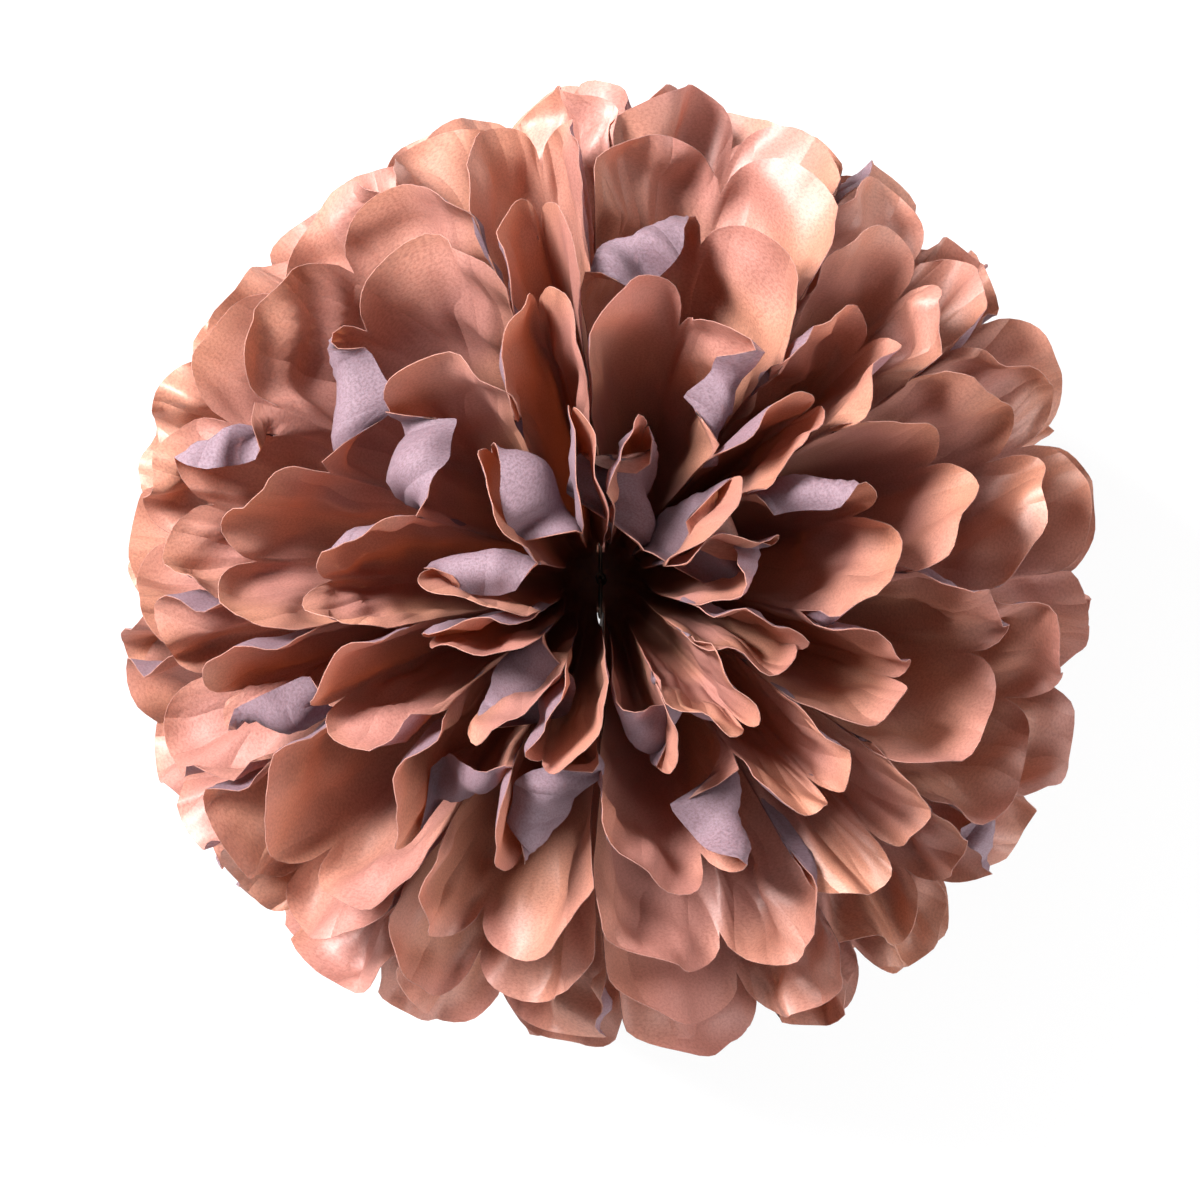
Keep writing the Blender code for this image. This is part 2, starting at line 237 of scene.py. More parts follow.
class SheetForm:
    """The shape of one sheet, as points for a fan, a place across it and a reach."""

    def __init__(self, ball: Ball, number: int, stack: Unevenness) -> None:
        """Works out the folds.

        Args:
            ball: Sizes of the ball.
            number: The sheet's number, from 0 at the top.
            stack: What all the sheets share.
        """
        self.ball = ball
        self.soft = Softness()
        self.number = number
        self.stack = stack
        self.own = Unevenness(ball.pleats, ball.seed + 1 + number)
        self.is_upper = number < ball.sheets_per_side
        from_pole = min(number, ball.sheets - 1 - number)
        step = (ball.outermost_polar - ball.innermost_polar) / (ball.sheets_per_side - 1)
        pulled = ball.innermost_polar + step * from_pole
        self.polar = pulled if self.is_upper else math.pi - pulled
        self.openness = math.sin(self.polar)
        waist_z = ((ball.sheets - 1) / 2 - number) * ball.layer_pitch
        self.waist_radius = ball.waist_radius + from_pole * ball.layer_pitch
        self.waist_reach = math.hypot(self.waist_radius, waist_z)
        self.waist_polar = math.atan2(self.waist_radius, waist_z)
        self.shares = self.fold_shares()
        chords = np.minimum(
            np.diff(self.shares, axis=1) * math.pi * ball.notch_radius * self.openness,
            ball.pleat_width,
        )
        rises = ball.stand_share * np.sqrt(ball.pleat_width**2 - chords**2)
        self.stands = np.minimum(rises, ball.most_stand)
        self.depths = self.fold_depths()
        spare = np.maximum(0.0, ball.pleat_width - np.hypot(chords, self.stands))
        arcs = np.sqrt(3 / 8 * ball.pleat_width * spare)
        room = np.minimum(1.0, chords / ball.room_to_bulge)
        self.bulges = np.minimum(arcs, room * ball.most_bulge_share * chords)
        self.notches = self.notch_reaches()
        self.tips = ball.radius - ball.tip_spread * (1.0 + self.own.tip) / 2
        draw = np.random.default_rng(ball.seed + number)
        self.skews = draw.uniform(-self.soft.most_skew, self.soft.most_skew, self.tips.shape)
        turns = ball.mean_curl + ball.curl_spread * self.mixed("curl")
        if from_pole == ball.sheets_per_side - 1:
            turns = np.where(turns > 0.0, ball.curl_to_equator * turns, turns)
        self.curls = np.minimum(1.0, chords / ball.room_to_curl) ** 2 * turns

    def mixed(self, kind: str) -> np.ndarray:
        """Values that are mostly the stack's and partly the sheet's own."""
        share = self.ball.shared_share
        return share * getattr(self.stack, kind) + (1.0 - share) * getattr(self.own, kind)

    def fold_shares(self) -> np.ndarray:
        """How far round its fan each fold lies, as cups that gape unevenly.

        Returns:
            A row of shares from 0 to 1 for each fan.
        """
        ball = self.ball
        grouping = ball.equator_grouping + ball.pole_grouping * abs(math.cos(self.polar))
        pleat = np.arange(ball.pleats)
        cup = pleat // 2 if self.is_upper else (pleat + 1) // 2
        widths = 1.0 + grouping * self.mixed("cup")[:, cup] + ball.pleat_spread * self.mixed("pleat")
        folds = np.concatenate([np.zeros((FANS, 1)), np.cumsum(widths, axis=1)], axis=1)
        return folds / folds[:, -1:]

    def fold_depths(self) -> np.ndarray:
        """How far each fold stands off the sheet's middle angle, at the notches.

        It is half the mean stand of the panels beside it, over the notches' radius.

        Returns:
            A row of polar angles for each fan.
        """
        stands = self.stands
        beside = np.concatenate([stands[:, :1], stands, stands[:, -1:]], axis=1)
        mean = (beside[:, :-1] + beside[:, 1:]) / 2
        uneven = 1.0 + self.ball.stand_spread * self.stack.stand
        return uneven * mean / (2.0 * self.ball.notch_radius)

    def notch_reaches(self) -> np.ndarray:
        """Distance of each notch from the ball's centre, clear of the table.

        Returns:
            A row of distances for each fan.
        """
        ball = self.ball
        reach = ball.notch_radius - ball.notch_spread * (1.0 + self.mixed("notch")) / 2
        fan, fold = np.indices(reach.shape)
        polar = self.fold_polar(fan, fold, reach)
        return np.minimum(reach, ball.standing_reach(polar) - ball.petal_depth)

    def ramp(self, reach: np.ndarray) -> np.ndarray:
        """How far the pleats have opened at a reach: 0 at the waist, 1 past the ramp."""
        return smooth((reach - self.waist_reach) / self.ball.pleat_ramp)

    def fold_polar(self, fan: np.ndarray, fold: np.ndarray, reach: np.ndarray) -> np.ndarray:
        """Polar angle of a fold.

        The middle angle goes from the waist's to the pulled one as 1 less an
        exponential of the reach; the fold's depth and lean are added on a ramp.

        Args:
            fan: Fan of each point.
            fold: Number of the fold.
            reach: Distance from the ball's centre.

        Returns:
            The polar angles.
        """
        ball = self.ball
        climbed = 1.0 - np.exp(-(reach - self.waist_reach) / ball.rise_length)
        ramp = self.ramp(reach)
        lean = self.openness * (ball.shared_lean * self.stack.lean + ball.own_lean * self.own.lean)
        side = np.where(fold % 2 == 0, -1.0, 1.0)
        middle = self.waist_polar + (self.polar - self.waist_polar) * climbed
        polar = middle + ramp * (side * self.depths[fan, fold] + lean[fan, fold])
        least = np.arcsin(np.clip(ramp * ball.hollow_radius / np.maximum(reach, 1e-4), 0.0, 1.0))
        return np.clip(polar, least, math.pi - least)

    def rounded(
        self, values: Callable[[np.ndarray], np.ndarray], s: np.ndarray, soft: np.ndarray
    ) -> np.ndarray:
        """Straight lines from fold to fold, with each corner rounded to a parabola.

        Within soft of a fold, half the change of slope is spread over
        (soft - q) squared / (2 soft), where q is the distance from the fold.

        Args:
            values: The value at each whole fold number.
            s: Places across the fan, in pleats.
            soft: Half the width of the rounded stretch, in pleats.

        Returns:
            The value at each place.
        """
        last = self.ball.pleats
        left = np.clip(np.floor(s).astype(int), 0, last - 1)
        t = s - left
        straight = (1.0 - t) * values(left) + t * values(left + 1)
        near = np.clip(np.rint(s).astype(int), 1, last - 1)
        q = np.abs(s - near)
        bend = (values(near + 1) - 2.0 * values(near) + values(near - 1)) / 2
        return straight + bend * np.maximum(0.0, soft - q) ** 2 / (2.0 * soft)

    def base(self, fan: np.ndarray, s: np.ndarray, reach: np.ndarray) -> np.ndarray:
        """The pleated sheet: its folds, softened, and its panels, bowed to the equator.

        Polar angle and share of the fan are rounded lines between the folds.
        The bow is 4 t (1 - t) times the panel's bulge, square to the panel, where
        t is the share of the way across it.

        Args:
            fan: Fan of each point.
            s: Place across the fan, in pleats.
            reach: Distance from the ball's centre.

        Returns:
            The points, measured from the ball's centre.
        """
        ball = self.ball
        outer = smooth((reach - self.soft.gain_start) / self.soft.gain_ramp)
        near = np.rint(s).astype(int)
        crest = (near % 2 == 0) == self.is_upper
        soft = np.where(crest, self.soft.crest, self.soft.valley + self.soft.valley_gain * outer)
        polar = self.rounded(lambda i: self.fold_polar(fan, i, reach), s, soft)
        share = self.rounded(lambda i: self.shares[fan, i], s, soft)
        pleat = np.clip(np.floor(s).astype(int), 0, ball.pleats - 1)
        t = s - pleat
        ring = reach * np.sin(polar)
        along_ring = ring * math.pi * (self.shares[fan, pleat + 1] - self.shares[fan, pleat])
        along_polar = reach * (self.fold_polar(fan, pleat + 1, reach) - self.fold_polar(fan, pleat, reach))
        straight = np.maximum(np.hypot(along_ring, along_polar), 1e-6)
        opened = smooth((reach - ball.bow_start) / ball.bow_ramp)
        bow = 4.0 * t * (1.0 - t) * self.bulges[fan, pleat] * opened * (1.0 if self.is_upper else -1.0)
        turn = -bow * along_polar / straight / np.maximum(ring, 1e-3)
        polar = polar + bow * along_ring / straight / np.maximum(reach, 1e-4)
        ring = reach * np.sin(polar)
        closing = smooth((ring - self.waist_radius) / ball.slit_closing)
        half_slit = ball.slit_at_wire + (ball.slit_at_rim - ball.slit_at_wire) * closing
        slit = np.arcsin(np.clip(half_slit / np.maximum(ring, 1e-4), 0.0, 1.0))
        azimuth = math.pi * fan - math.pi / 2 + slit + share * (math.pi - 2 * slit) + turn
        return np.stack(
            [ring * np.cos(azimuth), ring * np.sin(azimuth), reach * np.cos(polar)], axis=-1
        )

    def curled(self, fan: np.ndarray, s: np.ndarray, reach: np.ndarray) -> np.ndarray:
        """The base sheet with each petal curled.

        Past a slanting crease a petal goes round a circle until it has turned far
        enough, and straight on from there: along by radius sin(a) and up by
        radius (1 - cos(a)), with a the distance past the crease over the radius.
        It curls less where its neighbours are close, and not at all at the folds
        and at the table.

        Args:
            fan: Fan of each point.
            s: Place across the fan, in pleats.
            reach: Distance from the ball's centre, on the paper.

        Returns:
            The points, measured from the ball's centre.
        """
        ball = self.ball
        point = self.base(fan, s, reach)
        pleat = np.clip(np.floor(s).astype(int), 0, ball.pleats - 1)
        t = s - pleat
        turn = self.curls[fan, pleat]
        slant = ball.curl_slant * self.mixed("slant")[fan, pleat]
        across = (t - 0.5) * ball.pleat_width
        past = np.maximum(0.0, across * np.sin(slant) + (reach - ball.curl_start) * np.cos(slant))
        radius = ball.curl_length / np.maximum(np.abs(turn), ball.least_turn)
        angle = np.minimum(past / radius, np.abs(turn))
        rest = past - angle * radius
        forward = radius * np.sin(angle) + rest * np.cos(angle) - past
        lift = radius * (1.0 - np.cos(angle)) + rest * np.sin(angle)
        radial = unit(point)
        beside = unit(self.base(fan, np.minimum(s + self.soft.beside, ball.pleats), reach) - point)
        outwards = unit(np.cross(beside, radial))
        outwards = outwards * np.where((turn > 0.0) == self.is_upper, 1.0, -1.0)[..., None]
        along = radial * np.cos(slant)[..., None] + beside * np.sin(slant)[..., None]
        share = np.sin(math.pi * t) ** 2 * ball.settled(point[..., 2])
        return point + share[..., None] * (forward[..., None] * along + lift[..., None] * outwards)

    def edge(self, fan: np.ndarray, s: np.ndarray) -> np.ndarray:
        """Reach of the cut edge: half an ellipse on each panel, trimmed at the table.

        Scissors leave it a little askew, as t + skew t (1 - t), and wavy by a
        sine that dies out at the notches.

        Args:
            fan: Fan of each point.
            s: Place across the fan, in pleats.

        Returns:
            The reach of the edge at each place.
        """
        pleat = np.clip(np.floor(s).astype(int), 0, self.ball.pleats - 1)
        t = s - pleat
        low = (1.0 - t) * self.notches[fan, pleat] + t * self.notches[fan, pleat + 1]
        askew = t + self.skews[fan, pleat] * t * (1.0 - t)
        lobe = np.sqrt(np.maximum(0.0, 1.0 - (2.0 * askew - 1.0) ** 2))
        wave = np.sin(2.0 * math.pi * (self.soft.cut_waves * t + self.skews[fan, pleat]))
        reach = low + (self.tips[fan, pleat] - low) * lobe + self.soft.cut_wave * lobe * wave
        flat = self.base(fan, s, reach)
        return np.minimum(reach, self.ball.standing_reach(np.arccos(flat[..., 2] / reach)))


class RolledTips:
    """A sheet whose chosen tips are rolled right over, to show the bare side."""

    def __init__(self, form: SheetForm, rolls: dict[tuple[int, int], Roll]) -> None:
        """Keeps the form and its rolls.

        Args:
            form: The pleated and curled sheet.
            rolls: The rolled petals, by fan and pleat.
        """
        self.form = form
        self.rolls = rolls

    def bent(
        self, fan: np.ndarray, s: np.ndarray, reach: np.ndarray, start: float, roll: Roll
    ) -> np.ndarray:
        """Bends the curled sheet round a straight crease, towards the pole.

        A point d past the crease goes round a circle of the roll's radius until
        it has turned far enough, and straight on from there: along by
        radius sin(a) and up by radius (1 - cos(a)), with a = d / radius.

        Args:
            fan: Fan of each point.
            s: Place across the fan, in pleats.
            reach: Distance from the ball's centre, on the paper.
            start: Reach of the crease on the petal's middle line.
            roll: Slant, radius and turn of the bend.

        Returns:
            The bent points.
        """
        under, width = self.form.curled, self.form.ball.pleat_width
        sine, cosine = math.sin(roll.slant), math.cos(roll.slant)
        pleat = np.clip(np.floor(s).astype(int), 0, self.form.ball.pleats - 1)
        across = (s - pleat - 0.5) * width
        past = np.maximum(0.0, across * sine + (reach - start) * cosine)
        foot_s = np.clip(s - past * sine / width, pleat, pleat + 1)
        foot_reach = reach - past * cosine
        step = SURFACE_STEP
        foot = under(fan, foot_s, foot_reach)
        ahead = under(fan, foot_s + step * sine / width, foot_reach + step * cosine)
        beside = under(fan, foot_s + step * cosine / width, foot_reach - step * sine)
        along = unit(ahead - foot)
        up = unit(np.cross(beside - foot, along)) * (-1.0 if self.form.is_upper else 1.0)
        angle = np.minimum(past / roll.radius, roll.turn)
        rest = past - angle * roll.radius
        forward = roll.radius * np.sin(angle) + rest * np.cos(angle)
        lift = roll.radius * (1.0 - np.cos(angle)) + rest * np.sin(angle)
        return foot + along * forward[..., None] + up * lift[..., None]

    def surface(self, fan: np.ndarray, s: np.ndarray, reach: np.ndarray) -> np.ndarray:
        """The curled sheet with its chosen tips rolled over.

        Args:
            fan: Fan of each point.
            s: Place across the fan, in pleats.
            reach: Distance from the ball's centre, on the paper.

        Returns:
            The points, measured from the ball's centre.
        """
        points = self.form.curled(fan, s, reach)
        pleat = np.clip(np.floor(s).astype(int), 0, self.form.ball.pleats - 1)
        for (roll_fan, roll_pleat), roll in self.rolls.items():
            mine = (fan == roll_fan) & (pleat == roll_pleat)
            start = self.form.tips[roll_fan, roll_pleat] - roll.depth
            bent = self.bent(fan[mine], s[mine], reach[mine], start, roll)
            t = s[mine] - roll_pleat
            held = (smooth(t / roll.hold) * smooth((1.0 - t) / roll.hold))[:, None]
            points[mine] += held * (bent - points[mine])
        return points


@dataclass(frozen=True)
class Crumple:
    """Facets with sharp creases between them, as in handled tissue.

    Attributes:
        slope: Slope of the steepest facets.
        size: Their usual width.
        spread: How far the creases stray from running along the petal, in radians.
        waves: How many sets of creases cross.
        fade: Share of a pleat over which they fade out at each fold.
        lengths: The shortest and the longest zigzag, in usual widths.
        steeps: The gentlest and the steepest one, in steepest slopes.
        waver: How far a line of creases wavers, in zigzags.
        waver_rate: How fast it wavers, in radians to a zigzag's length.
    """

    slope: float
    size: float
    spread: float
    waves: int = 2
    fade: float = 0.12
    lengths: tuple[float, float] = (1.4, 3.0)
    steeps: tuple[float, float] = (0.2, 1.0)
    waver: float = 0.16
    waver_rate: float = 2.4

    def heights(
        self, draw: np.random.Generator, fan: np.ndarray, s: np.ndarray, reach: np.ndarray, ball: Ball
    ) -> np.ndarray:
        """Height off the sheet: zigzags that cross, each along a line that wavers.

        A zigzag is the distance from the nearest whole number to the place along
        its line over its length, and its line is bent by a slow sine of the
        place square to it.

        Args:
            draw: Source of the creases' directions.
            fan: Fan of each point.
            s: Place across the fan, in pleats.
            reach: Distance from the ball's centre.
            ball: Sizes of the ball.

        Returns:
            Heights in metres.
        """
        pleat = np.clip(np.floor(s).astype(int), 0, ball.pleats - 1)
        t = s - pleat
        across = (t - 0.5) * ball.pleat_width
        shape = (FANS, ball.pleats)
        total = np.zeros_like(s)
        for _ in range(self.waves):
            turn = draw.normal(0.0, self.spread, shape)[fan, pleat]
            length = self.size * draw.uniform(*self.lengths, shape)[fan, pleat]
            steep = self.slope * draw.uniform(*self.steeps, shape)[fan, pleat]
            phase = draw.uniform(0.0, 2.0 * math.pi, shape)[fan, pleat]
            along = np.cos(turn) * across + np.sin(turn) * (reach - ball.notch_radius)
            square = np.cos(turn) * (reach - ball.notch_radius) - np.sin(turn) * across
            wavers = self.waver * np.sin(self.waver_rate * square / length + phase)
            place = along / length + wavers + phase
            total += steep * length * (np.abs(place - np.rint(place)) - 0.25)
        return total * smooth(t / self.fade) * smooth((1.0 - t) / self.fade)


@dataclass(frozen=True)
class RimWave:
    """The slack of a cut edge, which stands in waves.

    Attributes:
        height: Their height at the edge.
        depth: How far in from the edge they fade out.
        sines: The sines that they add up from: waves to a pleat and share of the height.
        stray: How far those numbers of waves stray from fan to fan.
    """

    height: float = 1.2 * MM
    depth: float = 12 * MM
    sines: tuple[tuple[float, float], ...] = ((0.83, 0.5), (1.7, 0.5), (3.3, 0.15))
    stray: float = 0.2

    def heights(
        self, draw: np.random.Generator, fan: np.ndarray, s: np.ndarray, below: np.ndarray
    ) -> np.ndarray:
        """Height off the sheet: three sines across it, growing towards the edge.

        Args:
            draw: Source of the waves' phases.
            fan: Fan of each point.
            s: Place across the fan, in pleats.
            below: Distance in from the cut edge.

        Returns:
            Heights in metres.
        """
        total = np.zeros_like(s)
        for rate, share in self.sines:
            phase = draw.uniform(0.0, 2.0 * math.pi, FANS)
            stray = draw.uniform(-self.stray, self.stray, FANS)
            total += share * np.sin(2.0 * math.pi * s * (rate + stray[fan]) + phase[fan])
        return total * self.height * smooth(1.0 - below / self.depth)


@dataclass
class TissueSheet:
    """One sheet of tissue as a mesh.

    Attributes:
        form: Its pleated shape.
        rolls: Petals with a tip rolled over.
        columns: Grid steps across a pleat.
        rows: Grid steps from the waist to the edge.
        gathered: Share by which the columns are gathered near the folds.
        row_power: Power that gathers the rows near the edge, below 1.
        thickness: Drawn thickness of the paper.
        lift: Least height of its middle above the table, in thicknesses.
        crumples: The sets of facets that the hand left.
        least_handled: Share of the handling that every petal and every sheet has.
        handled_from: Distance from the ball's centre at which the handling starts.
        handled_ramp: How much further out it is full.
    """

    form: SheetForm
    rolls: dict[tuple[int, int], Roll] = field(default_factory=dict)
    columns: int = 20
    rows: int = 40
    gathered: float = 0.55
    row_power: float = 0.8
    thickness: float = 0.18 * MM
    lift: float = 0.6
    crumples: tuple[Crumple, ...] = (Crumple(0.95, 9 * MM, 0.35), Crumple(0.60, 7 * MM, 1.0))
    least_handled: float = 0.35
    handled_from: float = 0.055
    handled_ramp: float = 0.055

    @property
    def name(self) -> str:
        """Name of the piece."""
        return f"paper_{self.form.number + 1:02d}"

    @property
    def node(self) -> str:
        """Name of the solid that the piece stands for."""
        return f"tissue_sheet_{self.form.number + 1:02d}"

    def grid(self) -> tuple[np.ndarray, np.ndarray, np.ndarray]:
        """Fan, place across and reach of each grid point.

        Across, the points are gathered near the folds, where the cut edge is
        steep. Along, they are gathered near the edge.

        Returns:
            Three arrays of fans by columns by rows.
        """
        pleats = self.form.ball.pleats
        step = np.arange(self.columns) / self.columns
        share = (1.0 - self.gathered) * step + self.gathered * (1.0 - np.cos(math.pi * step)) / 2
        s = np.concatenate([(np.arange(pleats)[:, None] + share).ravel(), [pleats]])
        along = (np.arange(self.rows + 1) / self.rows) ** self.row_power
        fan = np.arange(FANS)[:, None, None] * np.ones((1, len(s), len(along)), int)
        across = np.broadcast_to(s[None, :, None], fan.shape).copy()
        edge = self.form.edge(fan[..., 0], across[..., 0])
        reach = self.form.waist_reach + (edge - self.form.waist_reach)[..., None] * along
        return fan, across, reach

    def handling(self, fan: np.ndarray, s: np.ndarray, reach: np.ndarray) -> np.ndarray:
        """How much the fingers have crumpled the paper, from 0 to 1.

        Most at the rim and on the sheets that stand furthest out, and less on
        some petals than on others.

        Args:
            fan: Fan of each point.
            s: Place across the fan, in pleats.
            reach: Distance from the ball's centre.

        Returns:
            The handling of each point.
        """
        ball = self.form.ball
        draw = np.random.default_rng(ball.seed * HANDLING_DRAWS + self.form.number)
        petal = draw.uniform(self.least_handled, 1.0, (FANS, ball.pleats))
        pleat = np.clip(np.floor(s).astype(int), 0, ball.pleats - 1)
        outer = self.least_handled + (1.0 - self.least_handled) * self.form.openness**2
        inner_end = smooth((reach - self.handled_from) / self.handled_ramp)
        return outer * petal[fan, pleat] * inner_end

    def points(self) -> tuple[np.ndarray, np.ndarray, np.ndarray]:
        """Works out the sheet, from its folds to its crumples.

        Returns:
            Places, flat coordinates and handling of all grid points.
        """
        fan, s, reach = self.grid()
        ball = self.form.ball
        places = RolledTips(self.form, self.rolls).surface(fan, s, reach)
        draw = np.random.default_rng(ball.seed * CRUMPLE_DRAWS + self.form.number)
        normal = unit(np.cross(np.gradient(places, axis=1), np.gradient(places, axis=2)))
        handled = self.handling(fan, s, reach)
        height = sum(crumple.heights(draw, fan, s, reach, ball) for crumple in self.crumples)
        height *= handled
        height += RimWave().heights(draw, fan, s, self.form.edge(fan, s) - reach)
        places = places + normal * (height * ball.settled(places[..., 2]))[..., None]
        places = Pull().moved(places, ball)
        places[..., 2] += ball.stand_height
        places[..., 2] = np.maximum(places[..., 2], self.lift * self.thickness)
        flat = np.stack([(s + fan * (ball.pleats + 1)) * ball.pleat_width, reach], axis=-1)
        return places, flat, handled

    def build(self, finishes: dict[PaperFace, bpy.types.Material]) -> bpy.types.Object:
        """Makes the mesh, gives it its thickness and its three finishes.

        Args:
            finishes: The material of each face.

        Returns:
            The piece.
        """
        places, flat, handled = self.points()
        _, wide, high = places.shape[:3]
        index = np.arange(FANS * wide * high).reshape(FANS, wide, high)
        quads = np.stack(
            [index[:, :-1, :-1], index[:, :-1, 1:], index[:, 1:, 1:], index[:, 1:, :-1]], axis=-1
        ).reshape(-1, 4)
        waist = np.concatenate([index[0, :, 0], index[1, :, 0]])
        mesh = bpy.data.meshes.new(self.name)
        mesh.from_pydata(places.reshape(-1, 3), [], [*map(tuple, quads), tuple(waist)])
        for face in PaperFace:
            mesh.materials.append(finishes[face])
        layer = mesh.uv_layers.new(name="paper")
        corners = np.zeros(len(mesh.loops), np.int32)
        mesh.loops.foreach_get("vertex_index", corners)
        layer.data.foreach_set("uv", flat.reshape(-1, 2)[corners].astype(np.float32).ravel())
        crumpled = mesh.attributes.new("handling", "FLOAT", "POINT")
        crumpled.data.foreach_set("value", handled.astype(np.float32).ravel())
        mesh.shade_smooth()
        sides = np.zeros(len(mesh.loops), np.int32)
        mesh.loops.foreach_get("edge_index", sides)
        mesh.edges.foreach_set("use_edge_sharp", np.bincount(sides, minlength=len(mesh.edges)) == 1)
        piece = bpy.data.objects.new(self.name, mesh)
        bpy.context.scene.collection.objects.link(piece)
        solid = piece.modifiers.new("paper", "SOLIDIFY")
        solid.thickness = self.thickness
        solid.offset = 0.0
        solid.material_offset = PaperFace.BARE.value
        solid.material_offset_rim = PaperFace.CUT.value
        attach(piece, "root")
        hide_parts(self.node)
        LOG.info("%s: %d faces", self.name, len(mesh.polygons))
        return piece


@dataclass(frozen=True)
class Pull:
    """How the hand pulled the whole ball out of true, as moves that all the sheets share.

    Attributes:
        gapes: Waves round the pole that open some cups and shut others: how many
            to a turn, how far in radians, and their phase.
        full_swing: Cosine of the polar angle at which those waves are full.
        slit_bow: How far the line of the slits is pushed over to +X at the rim.
        held_radius: Distance from the axis up to which nothing moves.
        held_ramp: How much further out everything moves fully.
        drift: How far each slow wave moves the paper.
        drifts: The slow waves: the axis that is pushed, the axis that the wave
            runs along, its length and its phase.
    """

    gapes: tuple[tuple[int, float, float], ...] = (
        (5, math.radians(4.0), 0.6),
        (8, math.radians(1.2), 2.0),
    )
    full_swing: float = 0.9
    slit_bow: float = 0.006
    held_radius: float = 0.008
    held_ramp: float = 0.040
    drift: float = 0.0028
    drifts: tuple[tuple[int, int, float, float], ...] = (
        (0, 2, 0.13, 0.5),
        (1, 0, 0.15, 2.1),
        (2, 1, 0.12, 4.0),
    )

    def moved(self, places: np.ndarray, ball: Ball) -> np.ndarray:
        """Moves points measured from the ball's centre.

        Azimuth gains the waves' sines, weighted by how near the pole is. Then x
        gains the bow times (y / radius) squared, and each drift pushes one axis
        by a sine along another.

        Args:
            places: The points.
            ball: Sizes of the ball.

        Returns:
            The moved points.
        """
        z = places[..., 2]
        ring = np.hypot(places[..., 0], places[..., 1])
        far = np.maximum(np.hypot(ring, z), 1e-6)
        azimuth = np.arctan2(places[..., 1], places[..., 0])
        swing = sum(swung * np.sin(count * azimuth + phase) for count, swung, phase in self.gapes)
        free = smooth((ring - self.held_radius) / self.held_ramp)
        azimuth = azimuth + free * swing * smooth(np.abs(z) / far / self.full_swing)
        x, y = ring * np.cos(azimuth), ring * np.sin(azimuth)
        x = x + self.slit_bow * (y / ball.radius) ** 2 * (1.0 - (x / ball.radius) ** 2)
        moved = np.stack([x, y, z], axis=-1)
        share = self.drift * free * smooth(far / ball.radius) * ball.settled(z)
        for pushed, along, length, phase in self.drifts:
            moved[..., pushed] += share * np.sin(2.0 * math.pi * places[..., along] / length + phase)
        return moved


# Sheet, fan and pleat of each rolled tip: depth (mm), slant (radians), radius (mm) and turn (degrees)
ROLLED_TIPS: dict[tuple[int, int, int], tuple[float, float, float, float]] = {
    (0, 0, 9): (29, 0.2, 8, 112), (0, 0, 10): (25, -0.3, 8, 100), (0, 1, 2): (15, -0.5, 5, 115),
    (0, 1, 4): (16, -0.15, 4, 135), (0, 1, 8): (24, 0.2, 6, 120), (0, 0, 0): (13, 0.5, 3.5, 130),
    (0, 0, 6): (9, 0.7, 3, 120), (1, 1, 3): (18, -0.25, 6, 125), (1, 1, 9): (19, -0.45, 6, 125),
    (1, 1, 11): (20, 0.15, 7, 120), (1, 0, 1): (15, 0.75, 4, 125), (1, 0, 7): (9, 0.7, 3, 120),
    (1, 0, 10): (8, -0.6, 3, 125), (2, 0, 11): (17, 0.25, 5, 130), (2, 1, 3): (18, 0.4, 5, 130),
    (2, 1, 7): (8, 0.6, 2.5, 120), (3, 1, 4): (10, -0.6, 3, 130), (4, 0, 3): (9, 0.5, 3, 130),
}


def rolls_of(number: int) -> dict[tuple[int, int], Roll]:
    """The rolled tips of a sheet.

    Args:
        number: The sheet's number, from 0 at the top.

    Returns:
        Its rolls, by fan and pleat.
    """
    rolls = {}
    for (sheet, fan, pleat), (depth, slant, radius, turn) in ROLLED_TIPS.items():
        if sheet == number:
            rolls[fan, pleat] = Roll(depth * MM, slant, radius * MM, math.radians(turn))
    return rolls


def add_node(
    tree: bpy.types.NodeTree, kind: str, settings: dict | None = None, links: dict | None = None
) -> bpy.types.Node:
    """Adds a node.

    Args:
        tree: Where it goes.
        kind: Its type.
        settings: Values by attribute name, or by socket name or number.
        links: The socket that feeds each input, by name or number.

    Returns:
        The node.
    """
    node = tree.nodes.new(kind)
    for key, value in (settings or {}).items():
        if isinstance(key, str) and hasattr(node, key):
            setattr(node, key, value)
        else:
            node.inputs[key].default_value = value
    for key, socket in (links or {}).items():
        tree.links.new(socket, node.inputs[key])
    return node


